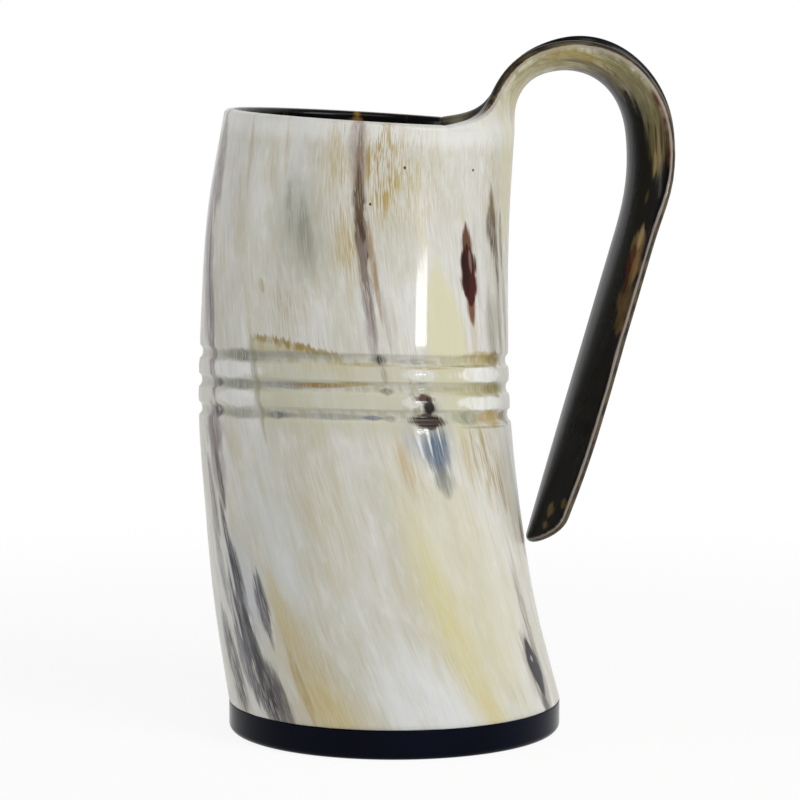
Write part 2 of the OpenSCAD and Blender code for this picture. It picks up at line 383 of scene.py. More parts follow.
def strip_half(s):
    """Half the strip's width, which closes in a half round at the free end."""
    tip = np.clip((s - TIP_FROM) / (1 - TIP_FROM), 0, 1)
    return STRIP_W / 2 * spline(WIDTH_SHARES, s) * np.sqrt(1 - tip * tip)


def strip_edge(s, root):
    """Turn of the strip's edge, which flares out to the root angle at the rim."""
    flare = np.clip(1 - s / FLARE_TO, 0, 1) ** FLARE_POWER
    return np.arcsin(strip_half(s) / strip_curl(s)) + (root - math.asin(strip_half(0.0) / RIM_R)) * flare


def strip_turn(s, f):
    """Turn across the strip, f going from its front edge to its back edge."""
    front = strip_edge(s, math.radians(FLARE_FRONT))
    back = strip_edge(s, math.radians(FLARE_BACK))
    return between(-front, back, f)


def strip_points(s, f, sink):
    """Points of the strip. Its face is the outer face of the wall, carried on."""
    a, r, lean = strip_turn(s, f), strip_curl(s), heading(s)
    roll = np.radians(STRIP_ROLL * spline(ROLL_SHARES, s))
    straight_face = stack(np.cos(lean), 0.0, -np.sin(lean))
    straight_side = np.array((0.0, 1.0, 0.0))
    c, q = np.cos(roll)[..., None], np.sin(roll)[..., None]
    face = straight_face * c + straight_side * q
    side = straight_side * c - straight_face * q
    out = np.cos(a)[..., None] * face + np.sin(a)[..., None] * side
    rim_slope = math.tan(RIM_TILT) - math.tan(math.radians(ROOT_LEAN))
    rise = r * (1 - np.cos(a)) * rim_slope * np.clip(1 - s / FLARE_TO, 0, 1)
    onward = stack(np.sin(lean), 0.0, np.cos(lean))
    return strip_middle(s) - r[..., None] * face + (r - sink)[..., None] * out + rise[..., None] * onward


# %% Rows and columns
column_turns = np.radians(360 * np.arange(WALL_COLS) / WALL_COLS - FLARE_FRONT)[None, :]
outer_levels = np.concatenate([
    np.linspace(0, level(GROOVE_BAND[0]), LOWER_ROWS, endpoint=False),
    np.linspace(level(GROOVE_BAND[0]), level(GROOVE_BAND[1]), BAND_ROWS, endpoint=False),
    np.linspace(level(GROOVE_BAND[1]), 1, UPPER_ROWS),
])
outer_levels = np.insert(outer_levels, 1, FOOT_CHAMFER / WALL_H)[:, None]
outer_sinks = np.where(outer_levels == 0, FOOT_CHAMFER, 0.0)
bore_levels = np.linspace(level(LIP_H + SEAT_H + SEAT_RUNOUT), 1, BORE_ROWS)[:, None]
strip_levels = np.concatenate([
    STRIP_BENDS[0][1] * np.linspace(0, 1, ROOT_ROWS, endpoint=False) ** ROOT_CROWD,
    np.linspace(STRIP_BENDS[0][1], STRIP_BENDS[1][1], ARCH_ROWS, endpoint=False),
    np.linspace(STRIP_BENDS[1][1], TIP_FROM, ARM_ROWS, endpoint=False),
    between(TIP_FROM, 1, np.sin(np.radians(np.linspace(0, TIP_LAST_TURN, TIP_ROWS)))),
])[1:, None]
strip_shares = np.linspace(0, 1, STRIP_COLS + 1)[None, :]

# %% Points of the two faces of the sheet
strip_s = strip_levels + 0 * strip_shares
strip_f = strip_shares + 0 * strip_levels
strip_thick = between(WALL_T, STRIP_TIP_T, spline(THIN_SHARES, strip_s))
wall_thick = between(FOOT_WALL_T, WALL_T, ease(bore_levels))
seat_radius = (FOOT_D / 2 - SEAT_WALL + SEAT_CLEAR) / math.cos(math.pi / WALL_COLS)
seat_rows = stack(seat_radius * np.cos(column_turns), seat_radius * np.sin(column_turns),
                  np.array([[LIP_H], [LIP_H + SEAT_H]]))
outer_wall = wall_points(outer_levels, column_turns, outer_sinks)
inner_wall = np.concatenate([seat_rows, wall_points(bore_levels, column_turns, wall_thick)])
outer_strip = strip_points(strip_s, strip_f, 0.0)
inner_strip = strip_points(strip_s, strip_f, strip_thick)

# %% [markdown]
# Horn is a bundle of fibres that run from root to tip and twist a little on the way. The colours
# follow them. So each point also keeps its place in the straightened horn: how far round, how far
# out, and how high along the fibres. The strip's fibres run on past the rim and up to its free end.

# %% Places along the fibres
FIBRE_TWIST = 0.69
FIBRE_TWIST_POWER = 1.2
RIM_LEVEL = LIP_H + WALL_H


def fibre_turn(height):
    """How far the fibres have turned round the horn at a height, in radians."""
    return FIBRE_TWIST * (np.clip(RIM_LEVEL - height, 0, None) / WALL_H) ** FIBRE_TWIST_POWER


def fibre_places(radius, turn, height):
    """Place in the straightened horn, in mm."""
    start = turn - fibre_turn(height)
    return stack(radius * np.cos(start), radius * np.sin(start), height)


outer_fibres = fibre_places(wall_radius(outer_levels) - outer_sinks, column_turns,
                            LIP_H + outer_levels * WALL_H)
inner_levels = np.concatenate([level(seat_rows[:, :1, 2]), bore_levels])
inner_sinks = np.concatenate([np.full((2, 1), SEAT_WALL), wall_thick])
inner_fibres = fibre_places(wall_radius(inner_levels) - inner_sinks, column_turns,
                            LIP_H + inner_levels * WALL_H)
strip_reach = strip_turn(strip_s, strip_f) * strip_curl(strip_s) / RIM_R
strip_height = RIM_LEVEL + strip_s * STRIP_L
outer_strip_fibres = fibre_places(RIM_R + 0 * strip_s, strip_reach, strip_height)
inner_strip_fibres = fibre_places(RIM_R - strip_thick, strip_reach, strip_height)

# %% Numbering of the points
outer_ids = np.arange(outer_wall.shape[0] * WALL_COLS).reshape(-1, WALL_COLS)
outer_strip_ids = outer_ids.size + np.arange(strip_s.size).reshape(strip_s.shape)
inner_ids = outer_strip_ids.max() + 1 + np.arange(inner_wall.shape[0] * WALL_COLS).reshape(-1, WALL_COLS)
inner_strip_ids = inner_ids.max() + 1 + np.arange(strip_s.size).reshape(strip_s.shape)
outer_strip_ids = np.vstack([outer_ids[-1, :STRIP_COLS + 1], outer_strip_ids])
inner_strip_ids = np.vstack([inner_ids[-1, :STRIP_COLS + 1], inner_strip_ids])
sheet_points = np.concatenate([g.reshape(-1, 3) for g in (outer_wall, outer_strip, inner_wall, inner_strip)])
sheet_fibres = np.concatenate([g.reshape(-1, 3) for g in (outer_fibres, outer_strip_fibres,
                                                          inner_fibres, inner_strip_fibres)])
sheet_inside = np.zeros(len(sheet_points))
sheet_inside[inner_ids.min():] = 1

# %% [markdown]
# The free edge of the sheet is one unbroken line: round the rim, up the front of the strip, round
# its free end, and down its back. A half-round band joins the outer face to the inner one along it.


# %% The rounded edge
def edge_line(wall_ids, strip_ids):
    """The sheet's free edge, as point numbers of one face."""
    rim = np.append(wall_ids[-1, STRIP_COLS:], wall_ids[-1, 0])
    return np.concatenate([rim, strip_ids[1:, 0], strip_ids[-1, 1:STRIP_COLS], strip_ids[:0:-1, STRIP_COLS]])


edge_outer = edge_line(outer_ids, outer_strip_ids)
edge_inner = edge_line(inner_ids, inner_strip_ids)
outer_side, inner_side = sheet_points[edge_outer], sheet_points[edge_inner]
along = np.roll(outer_side, -1, 0) - np.roll(outer_side, 1, 0)
away = np.cross(outer_side - inner_side, along)
away /= np.linalg.norm(away, axis=1)[:, None]
edge_turns = np.pi * np.arange(1, EDGE_STEPS) / EDGE_STEPS
edge_middle, edge_half = (outer_side + inner_side) / 2, (outer_side - inner_side) / 2
edge_points = np.concatenate([
    edge_middle + edge_half * math.cos(t) + away * EDGE_ROUND * math.sin(t) for t in edge_turns
])
edge_fibres = np.concatenate([
    between(sheet_fibres[edge_inner], sheet_fibres[edge_outer], (1 + math.cos(t)) / 2) for t in edge_turns
])
edge_inside = np.repeat((1 - np.cos(edge_turns)) / 2, len(edge_outer))
edge_ids = len(sheet_points) + np.arange(len(edge_points)).reshape(EDGE_STEPS - 1, -1)
edge_ids = np.vstack([edge_outer, edge_ids, edge_inner])


# %% Faces
def grid_faces(ids, closed, flip):
    """Four-sided faces between the rows of a grid of point numbers."""
    after = np.roll(ids, -1, 1) if closed else ids[:, 1:]
    here = ids if closed else ids[:, :-1]
    faces = np.stack([here[:-1], after[:-1], after[1:], here[1:]], -1).reshape(-1, 4)
    return faces[:, ::-1] if flip else faces


horn_faces = np.concatenate([
    grid_faces(outer_ids, True, False),
    grid_faces(inner_ids, True, True),
    grid_faces(np.vstack([inner_ids[0], outer_ids[0]]), True, False),
    grid_faces(outer_strip_ids, False, False),
    grid_faces(inner_strip_ids, False, True),
    grid_faces(edge_ids, True, False),
])

# %% The horn piece
horn_points = np.concatenate([sheet_points, edge_points])
horn = mesh_object("horn_sheet", (horn_points * MM).tolist(), horn_faces.tolist())


def keep_on_points(piece, name, kind, values):
    """Stores a value for each point, which materials and node trees can read by name."""
    made = piece.data.attributes.new(name, kind, "POINT")
    field = "vector" if kind == "FLOAT_VECTOR" else "value"
    made.data.foreach_set(field, np.asarray(values, np.float32).ravel())


keep_on_points(horn, "fibre", "FLOAT_VECTOR", np.concatenate([sheet_fibres, edge_fibres]))
keep_on_points(horn, "inside", "FLOAT", np.concatenate([sheet_inside, edge_inside]))
horn_low, horn_high = horn_points.min(0), horn_points.max(0)
node_low, node_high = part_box("horn_body")
print("horn sheet:", len(horn_faces), "faces,",
      "corners off the packed ones by mm:", np.round(horn_low - np.array(node_low) / MM, 2),
      np.round(horn_high - np.array(node_high) / MM, 2))

# %% [markdown]
# ## Grooves
# The cup was spun against a cutter, which left three grooves and two round beads between them.
# Grooves repeat at one pitch, so a Geometry Nodes tree cuts them. It reads each point's height
# along the fibres, finds the nearest groove, and pushes the point in along its normal. Count,
# pitch, width and depth are inputs of the tree, as a maker would set them on the lathe.

# %% Groove tree
GROOVE_INPUTS = {"Middle": 91.0, "Pitch": 7.2, "Count": 3.0, "Width": 3.2, "Depth": 0.9, "Bead": 0.22}
BEAD_REACH = 0.55
OUTER_FACE_LIMIT = 0.01


def groove_tree():
    """Builds the node group that cuts the grooves."""
    tree = bpy.data.node_groups.new("lathe_grooves", "GeometryNodeTree")

    def socket(name, kind, way="INPUT"):
        """Adds a socket to the group and returns its identifier."""
        return tree.interface.new_socket(name, in_out=way, socket_type=kind).identifier

    socket("Geometry", "NodeSocketGeometry")
    socket("Geometry", "NodeSocketGeometry", "OUTPUT")
    sockets = {name: socket(name, "NodeSocketFloat") for name in GROOVE_INPUTS}
    sockets["Material"] = socket("Material", "NodeSocketMaterial")
    given = add(tree, "NodeGroupInput").outputs
    fibre = add(tree, "GeometryNodeInputNamedAttribute", {"Name": "fibre"}, data_type="FLOAT_VECTOR")
    inside = add(tree, "GeometryNodeInputNamedAttribute", {"Name": "inside"}, data_type="FLOAT")
    height = add(tree, "ShaderNodeSeparateXYZ", (fibre,)).outputs["Z"]
    last = add(tree, "ShaderNodeMath", (given["Count"], 1.0), operation="SUBTRACT")
    down = add(tree, "ShaderNodeMath", (last, -0.5), operation="MULTIPLY")
    lowest = add(tree, "ShaderNodeMath", (down, given["Pitch"], given["Middle"]), operation="MULTIPLY_ADD")
    steps = add(tree, "ShaderNodeMath", (height, lowest), operation="SUBTRACT")
    steps = add(tree, "ShaderNodeMath", (steps, given["Pitch"]), operation="DIVIDE")
    nearest = add(tree, "ShaderNodeMath", (steps, 0.0), operation="MAXIMUM")
    nearest = add(tree, "ShaderNodeMath", (nearest, last), operation="MINIMUM")
    nearest = add(tree, "ShaderNodeMath", (nearest,), operation="ROUND")
    off = add(tree, "ShaderNodeMath", (steps, nearest), operation="SUBTRACT")
    off = add(tree, "ShaderNodeMath", (off,), operation="ABSOLUTE")
    half_width = add(tree, "ShaderNodeMath", (given["Width"], 0.5), operation="MULTIPLY")
    across = add(tree, "ShaderNodeMath", (off, given["Pitch"]), operation="MULTIPLY")
    across = add(tree, "ShaderNodeMath", (across, half_width), operation="DIVIDE")
    square = add(tree, "ShaderNodeMath", (across, across), operation="MULTIPLY")
    hollow = add(tree, "ShaderNodeMath", (1.0, square), operation="SUBTRACT")
    hollow = add(tree, "ShaderNodeMath", (hollow, 0.0), operation="MAXIMUM")
    hollow = add(tree, "ShaderNodeMath", (hollow,), operation="SQRT")
    swell = add(tree, "ShaderNodeMapRange", (off, 0.0, BEAD_REACH, 1.0, 0.0),
                interpolation_type="SMOOTHERSTEP")
    share = add(tree, "ShaderNodeMix", {0: given["Bead"], 2: hollow, 3: swell})
    outer = add(tree, "ShaderNodeMath", (inside, OUTER_FACE_LIMIT), operation="LESS_THAN")
    share = add(tree, "ShaderNodeMath", (share, outer), operation="MULTIPLY")
    cut = add(tree, "ShaderNodeMath", (share, given["Depth"]), operation="MULTIPLY")
    cut = add(tree, "ShaderNodeMath", (cut, -MM), operation="MULTIPLY")
    normal = add(tree, "GeometryNodeInputNormal")
    push = add(tree, "ShaderNodeVectorMath", {0: normal, "Scale": cut}, operation="SCALE")
    marked = add(tree, "GeometryNodeStoreNamedAttribute",
                 {"Geometry": given["Geometry"], "Name": "groove", "Value": share}, data_type="FLOAT")
    moved = add(tree, "GeometryNodeSetPosition", {"Geometry": marked, "Offset": push})
    real = add(tree, "GeometryNodeRealizeInstances", (moved,))
    finished = add(tree, "GeometryNodeSetMaterial", {"Geometry": real, "Material": given["Material"]})
    add(tree, "NodeGroupOutput", {"Geometry": finished})
    return tree, sockets


def bake(piece):
    """Turns a piece's modifiers into plain mesh and removes them."""
    graph = bpy.context.evaluated_depsgraph_get()
    mesh = bpy.data.meshes.new_from_object(piece.evaluated_get(graph))
    piece.modifiers.clear()
    piece.data = mesh


# %% [markdown]
# ## Polished horn
# Horn is keratin: pale cream where it holds no pigment, with brown to black streaks where it
# does, and translucent at the surface. Scraping and polishing leaves a wet-looking gloss over
# fine, straight fibres. The pattern is three things on top of each other: the pale ground with
# soft warm zones, single streaks of pigment that each have a place along the fibres, and hair-fine
# fibre lines that break up every edge.

# %% One streak of pigment, as a node group
TRACE = 1e-6
STREAK_SOCKETS = {
    "NodeSocketVector": ("Under", "Pigment", "Fibre", "Across", "Toward", "Along"),
    "NodeSocketFloat": ("Feather", "Weave", "Middle", "Core", "Rim", "Strength"),
}
streak_group = bpy.data.node_groups.new("pigment_streak", "ShaderNodeTree")
for socket_kind, socket_names in STREAK_SOCKETS.items():
    for socket_name in socket_names:
        streak_group.interface.new_socket(socket_name, in_out="INPUT", socket_type=socket_kind)
streak_group.interface.new_socket("Colour", in_out="OUTPUT", socket_type="NodeSocketVector")
given = add(streak_group, "NodeGroupInput").outputs
# a trace of the colour below goes into the place, so that the streaks are worked out one by one
spot = add(streak_group, "ShaderNodeVectorMath", (given["Under"], (TRACE, TRACE, TRACE), given["Fibre"]),
           operation="MULTIPLY_ADD")
across, along, toward = (
    add(streak_group, "ShaderNodeVectorMath", (spot, given[way]), operation="DOT_PRODUCT").outputs["Value"]
    for way in ("Across", "Along", "Toward")
)
side = add(streak_group, "ShaderNodeMath", (across,), operation="ABSOLUTE")
along = add(streak_group, "ShaderNodeMath", (along, given["Middle"]), operation="SUBTRACT")
lens = add(streak_group, "ShaderNodeMath", (along, along, side), operation="MULTIPLY_ADD")
lens = add(streak_group, "ShaderNodeMath", (lens, given["Feather"]), operation="ADD")
cover = add(streak_group, "ShaderNodeMapRange", (lens, given["Core"], given["Rim"], given["Strength"], 0.0),
            interpolation_type="SMOOTHSTEP")
cover = add(streak_group, "ShaderNodeMath", (cover, given["Weave"]), operation="MULTIPLY")
near_side = add(streak_group, "ShaderNodeMath", (toward, 0.0), operation="GREATER_THAN")
cover = add(streak_group, "ShaderNodeMath", (cover, near_side), operation="MULTIPLY")
mixed = add(streak_group, "ShaderNodeMix", {0: cover, 4: given["Under"], 5: given["Pigment"]},
            data_type="VECTOR")
add(streak_group, "NodeGroupOutput", {0: mixed.outputs[1]})

# %% [markdown]
# Each streak below is one line: where it lies, how large it is, how soft its edge is, how strongly
# it covers, and its colour. The turn is in degrees round the rim from the handle, the height and
# the half sizes in millimetres, across and along the fibres. The lists are the front above the
# belt, the front below it, faint stains, spots with a clear outline, and the back. The marks of
# the belt, the patches of the inner face and the streaks of the handle follow.

# %% Streaks of the upper front
UPPER_STREAKS = (
    # turn, height, half width, half height, softness, strength, colour
    (-168, 147, 4, 15, 0.4, 0.85, "#867c7e"),
    (-174, 121, 4.6, 27, 0.4, 0.85, "#8a8083"),
    (-172, 119, 1.1, 14, 0.4, 0.9, "#5a5051"),
    (-170, 106, 1.4, 13, 0.4, 0.8, "#6b6163"),
    (-144.5, 150, 0.9, 12, 0.8, 0.5, "#ad9b72"),
    (-126, 152, 0.8, 7, 0.8, 0.5, "#ad9b72"),
    (-106.5, 150, 2.8, 10, 0.9, 0.5, "#b5a77c"),
    (-103.5, 127.5, 2.6, 6, 0.9, 0.5, "#b5a577"),
    (-138.2, 117.3, 0.9, 2.2, 0.5, 0.6, "#a08a55"),
    (-120.5, 132, 7.2, 16, 0.9, 0.6, "#a2a296"),
    (-119, 131, 2.4, 9, 0.8, 0.65, "#8a8b7e"),
    (-124, 137, 1.3, 8, 0.7, 0.55, "#8e8f86"),
    (-116, 126, 1.5, 8, 0.8, 0.5, "#96968b"),
    (-97.8, 153, 2.3, 13, 0.35, 0.75, "#a1958f"),
    (-96.6, 145, 1.6, 15, 0.4, 0.8, "#81705f"),
    (-96.8, 137, 1.8, 14, 0.3, 0.95, "#5c4a38"),
    (-97, 129, 1.9, 8, 0.3, 1, "#4f3f2f"),
    (-97.8, 118, 1.6, 17, 0.4, 0.85, "#7a6c66"),
    (-98.8, 106, 1.4, 11, 0.5, 0.65, "#8d8380"),
    (-94, 122, 0.9, 16, 0.5, 0.75, "#957c5c"),
    (-92.5, 108, 0.8, 9, 0.6, 0.5, "#a19890"),
    (-93.4, 150, 0.5, 6, 0.5, 0.7, "#9c874f"),
    (-75, 139, 1.2, 14, 0.9, 0.45, "#c3bb96"),
    (-55.2, 107, 1.6, 7, 0.8, 0.5, "#ae977c"),
    (-50, 124, 1, 12, 0.7, 0.4, "#a49a86"),
    (-37.5, 134, 3.2, 9.5, 0.4, 1, "#655646"),
    (-37.5, 140, 1.2, 6, 0.4, 0.85, "#7a6b56"),
    (-34.5, 124, 1.3, 8, 0.4, 0.85, "#75685a"),
    (-30, 131, 1.5, 9, 0.45, 0.85, "#7d6f5c"),
    (-43, 107, 3, 12, 0.9, 0.7, "#8f8c7e"),
    (-35, 108, 1.8, 13, 0.7, 0.65, "#878376"),
    (-28, 112, 1.6, 14, 0.6, 0.6, "#857b70"),
    (-23, 144, 4.5, 24, 0.8, 0.75, "#c6c098"),
    (-15, 148, 3.5, 20, 0.8, 0.6, "#c2ba8c"),
)

# %% Streaks of the lower front
LOWER_STREAKS = (
    (-80, 40, 15, 32, 0.9, 0.45, "#cac5a2"),
    (-98, 62, 8, 18, 0.9, 0.4, "#c9c4a2"),
    (-120, 14, 13, 17, 0.9, 0.6, "#d6d9dc"),
    (-152, 52, 7, 20, 0.9, 0.5, "#cdd1d4"),
    (-172, 40, 5, 16, 0.9, 0.5, "#b4b9c4"),
    (-128, 60, 6, 16, 0.9, 0.35, "#bdb795"),
    (-176.5, 71, 4.2, 12, 0.5, 0.75, "#7b7275"),
    (-176, 67, 1.3, 10, 0.4, 0.85, "#54494c"),
    (-184.6, 61, 1.8, 12, 0.4, 0.8, "#6a6265"),
    (-187.5, 47, 2, 14, 0.5, 0.65, "#7b7679"),
    (-178.8, 51, 1.7, 12, 0.4, 0.95, "#434146"),
    (-177.6, 44, 2.6, 7.5, 0.35, 1, "#343338"),
    (-180, 32, 4.6, 17, 0.35, 0.85, "#58575d"),
    (-182, 30, 1.6, 13, 0.3, 0.95, "#38373c"),
    (-184, 22, 4, 12, 0.4, 0.8, "#5b5960"),
    (-176, 22, 2.2, 10, 0.4, 0.85, "#4a494f"),
    (-177.5, 28, 1.3, 10, 0.3, 0.85, "#424147"),
    (-180.8, 45, 0.8, 9, 0.5, 0.85, "#cbcbd0"),
    (-183.5, 33, 0.7, 8, 0.5, 0.8, "#c6c6cb"),
    (-167, 35.5, 2.3, 9.5, 0.35, 0.85, "#66646a"),
    (-165.5, 38, 0.9, 7, 0.35, 0.8, "#4d4c52"),
    (-195, 20, 4.2, 15, 0.4, 0.9, "#4f4b50"),
    (-176.8, 15, 5.4, 11, 0.4, 0.95, "#454245"),
    (-171.5, 12, 2.6, 9, 0.4, 0.85, "#5a5557"),
    (-159.5, 36, 2.6, 11, 0.7, 0.65, "#bcae84"),
    (-156.5, 22, 7, 19, 0.9, 0.7, "#beb188"),
    (-152, 9, 9.5, 12, 0.9, 0.75, "#c0b07e"),
    (-161, 17, 1.4, 12, 0.6, 0.6, "#a4915f"),
    (-85, 80, 7, 13, 0.5, 0.8, "#8f9498"),
    (-82.6, 82, 2.6, 14, 0.5, 0.95, "#4a586c"),
    (-87.4, 82, 1.4, 13, 0.5, 0.85, "#5d6874"),
    (-79.8, 79, 1.4, 10, 0.5, 0.8, "#66727e"),
    (-83.8, 75, 2, 8, 0.5, 0.9, "#4f6078"),
    (-85.4, 81, 0.6, 8, 0.4, 0.85, "#d3d6d7"),
    (-89.4, 81, 0.8, 9, 0.4, 0.85, "#d3d6d7"),
    (-80.8, 81, 0.4, 7, 0.4, 0.8, "#cfd2d3"),
    (-83.4, 68, 3.4, 4, 0.6, 0.75, "#807f76"),
    (-97.5, 71, 1.8, 8, 0.8, 0.55, "#b59d80"),
    (-70, 76, 2, 11, 0.8, 0.6, "#b3a475"),
    (-66, 74, 0.8, 8, 0.5, 0.65, "#a4926a"),
    (-60, 76, 1, 9, 0.6, 0.65, "#9d8d62"),
    (-53.1, 65.5, 1.2, 7.5, 0.5, 0.65, "#8d8062"),
    (-49, 60, 1.6, 16, 0.8, 0.5, "#ad9d8a"),
    (-40, 52, 1.4, 6.5, 0.5, 0.85, "#7a6e46"),
    (-100, 46, 5, 18, 0.9, 0.7, "#c5bf98"),
    (-99, 33, 7, 18, 0.9, 0.8, "#c4bd90"),
    (-97, 17, 6.6, 17, 0.9, 0.75, "#c6be96"),
    (-95.5, 10, 3.6, 9, 0.8, 0.55, "#c3b682"),
    (-84, 24, 2, 14, 0.8, 0.4, "#c9c29c"),
    (-58, 42, 1.2, 12, 0.6, 0.5, "#a3988a"),
    (-60, 31, 2.2, 13, 0.5, 0.75, "#8d8378"),
    (-65.2, 17.5, 4.4, 12.5, 0.45, 0.8, "#837b71"),
    (-66.5, 9, 1.6, 5, 0.4, 0.8, "#4e4a4b"),
)

# %% Faint stains that follow single fibres
STAINS = (
    (-87, 147, 9, 17, 0.7, 0.85, "#b09b60"),
    (-88, 149, 6, 13, 0.8, 0.65, "#a08748"),
    (-104, 142, 8, 22, 0.9, 0.6, "#ad9a66"),
    (-100, 126, 7, 9, 0.9, 0.7, "#a8945c"),
    (-74, 146, 8, 16, 0.9, 0.6, "#b3a473"),
    (-130, 112, 8, 8, 0.9, 0.5, "#aa9a70"),
    (-38, 146, 8, 16, 0.9, 0.6, "#b5a97c"),
    (-60, 72, 9, 14, 0.9, 0.8, "#a08f5e"),
    (-96, 70, 6, 12, 0.9, 0.6, "#ad9a72"),
    (-130, 62, 12, 22, 0.9, 0.4, "#aea283"),
    (-100, 30, 8, 24, 0.9, 0.6, "#b3a362"),
    (-155, 18, 9, 20, 0.9, 0.5, "#a8935a"),
    (40, 120, 14, 30, 0.9, 0.6, "#ab9a68"),
    (100, 60, 14, 34, 0.9, 0.6, "#ab9a68"),
    (150, 110, 10, 30, 0.9, 0.5, "#a39673"),
)

# %% Spots with a clear outline
SPOTS = (
    (-69.5, 102, 6.8, 24, 0.35, 0.8, "#c9c6a8"),
    (-54.2, 129, 2, 6.5, 0.4, 0.9, "#5e3f2e"),
    (-57.3, 121, 1, 7, 0.4, 0.7, "#6a5648"),
    (-55.2, 113.5, 1.8, 6, 0.5, 0.9, "#6f4a34"),
    (-54.4, 124.2, 2.9, 5.6, 0.25, 1, "#3c0704"),
    (-55, 118.8, 3, 6.2, 0.2, 1, "#400503"),
    (-56.2, 122, 1.3, 7.6, 0.4, 0.8, "#1e0200"),
    (-53.2, 125, 0.6, 3.5, 0.5, 0.7, "#7a6a5c"),
    (-65.2, 19, 3, 8.6, 0.25, 1, "#333236"),
    (-65.6, 21.5, 0.7, 1, 0.3, 0.8, "#8f8c88"),
)

# %% Streaks of the back
BACK_STREAKS = (
    (150, 132, 6, 26, 0.4, 0.8, "#6f6259"),
    (138, 118, 2.2, 24, 0.4, 0.9, "#4c3b2b"),
    (112, 140, 7, 18, 0.8, 0.6, "#b4a478"),
    (95, 128, 2, 17, 0.35, 0.9, "#5a4a3d"),
    (74, 118, 3, 12, 0.3, 0.95, "#3a1a0e"),
    (60, 136, 5, 16, 0.8, 0.6, "#c3bb8d"),
    (30, 128, 2.2, 22, 0.5, 0.8, "#7c6c58"),
    (8, 124, 4, 20, 0.8, 0.6, "#bdb18a"),
    (140, 58, 6, 26, 0.5, 0.8, "#6a6462"),
    (112, 40, 3, 20, 0.4, 0.9, "#3d393b"),
    (84, 52, 6, 24, 0.8, 0.65, "#c2b482"),
    (60, 30, 4, 22, 0.35, 0.85, "#5b5658"),
    (36, 46, 2.4, 20, 0.4, 0.85, "#4d4848"),
    (12, 34, 6, 24, 0.8, 0.7, "#c9c08c"),
    (-12, 40, 3, 24, 0.5, 0.8, "#6c6560"),
    (-20, 66, 2, 12, 0.4, 0.8, "#5c5248"),
)
SPECK_PLACES = ((-93.2, 139.2), (-79.8, 149.1), (-49.3, 149.1), (110, 96), (40, 140))
SPECKS = tuple((turn, high, 0.35, 0.45, 0.3, 0.9, "#4a3a2a") for turn, high in SPECK_PLACES)
cup_streaks = UPPER_STREAKS + LOWER_STREAKS + BACK_STREAKS
print("streaks on the cup:", len(cup_streaks + STAINS + SPOTS + SPECKS))

# %% Marks of the belt
GROOVE_MARKS = (
    # grey, tan and ochre marks in the three grooves
    (-152, 98.4, 10, 1.8, 0.8, 0.85, "#77776b"),
    (-155, 90.9, 10, 1.6, 0.8, 0.8, "#83847a"),
    (-156, 83.3, 9, 1.4, 0.9, 0.65, "#8d8e84"),
    (-139.5, 83.4, 5, 1, 0.8, 0.85, "#6e6f6b"),
    (-131, 91.2, 12, 1.1, 0.5, 0.8, "#8b8d8c"),
    (-121, 91.4, 9, 0.7, 0.4, 0.9, "#94773a"),
    (-108, 92, 6, 0.6, 0.5, 0.7, "#a08c56"),
    (-118, 83.4, 14, 0.9, 0.5, 0.6, "#90938f"),
    (-104, 83.3, 3, 0.7, 0.4, 0.8, "#6f7683"),
    (-128, 99, 14, 1, 0.6, 0.6, "#9a9b92"),
    (-103, 97, 9, 0.6, 0.5, 0.7, "#a2956b"),
    (-84, 98, 6, 0.9, 0.5, 0.6, "#8c8c86"),
    (-80, 96.4, 8, 0.5, 0.5, 0.6, "#a5966a"),
    (-76, 91, 7, 1, 0.6, 0.6, "#a39d7c"),
    (-52, 99, 9.5, 2.2, 0.5, 0.85, "#a99a66"),
    (-42, 98.8, 4.6, 2.4, 0.5, 0.95, "#85733c"),
    (-56, 90.8, 11, 2.2, 0.6, 0.85, "#a09a70"),
    (-44, 90.8, 7, 2.2, 0.6, 0.9, "#8b8052"),
    (-65, 83.4, 5.6, 2.2, 0.6, 0.85, "#8f907a"),
    (-50, 83.4, 8, 2.4, 0.5, 0.85, "#a8935c"),
    (-37, 83.4, 4, 2.2, 0.5, 0.9, "#7c755e"),
    (-57, 97, 12, 0.4, 0.5, 0.7, "#8f7f4c"),
    (-54, 81, 12, 0.4, 0.5, 0.6, "#93855a"),
    (-146.3, 90, 1.1, 15, 0.6, 0.65, "#8e8c6e"),
)
BEAD_WEAR_AND_HIGHLIGHTS = (
    # pale places where a bead was polished through, round the cup, and painted highlights on the two beads in
    # the front middle
    (-158.5, 94.6, 10.5, 2.7, 0.2, 0.95, "#dadad8"),
    (-157, 87.4, 9, 2.5, 0.2, 0.95, "#dadad8"),
    (-53, 94.7, 10.5, 2.4, 0.25, 0.95, "#dfdfda"),
    (-54, 87.2, 11.5, 2.3, 0.25, 0.95, "#dfdfda"),
    # painted highlights on the two beads in the front middle, beside the dark blot
    (-83, 94.7, 5.5, 1.9, 0.3, 0.8, "#cfcfc8"),
    (-88, 87.4, 3.6, 1.6, 0.3, 0.8, "#cfcfc8"),
    (30, 94.6, 10, 2.8, 0.3, 0.85, "#d6d6d0"),
    (60, 87.4, 9, 2.6, 0.3, 0.85, "#d6d6d0"),
)
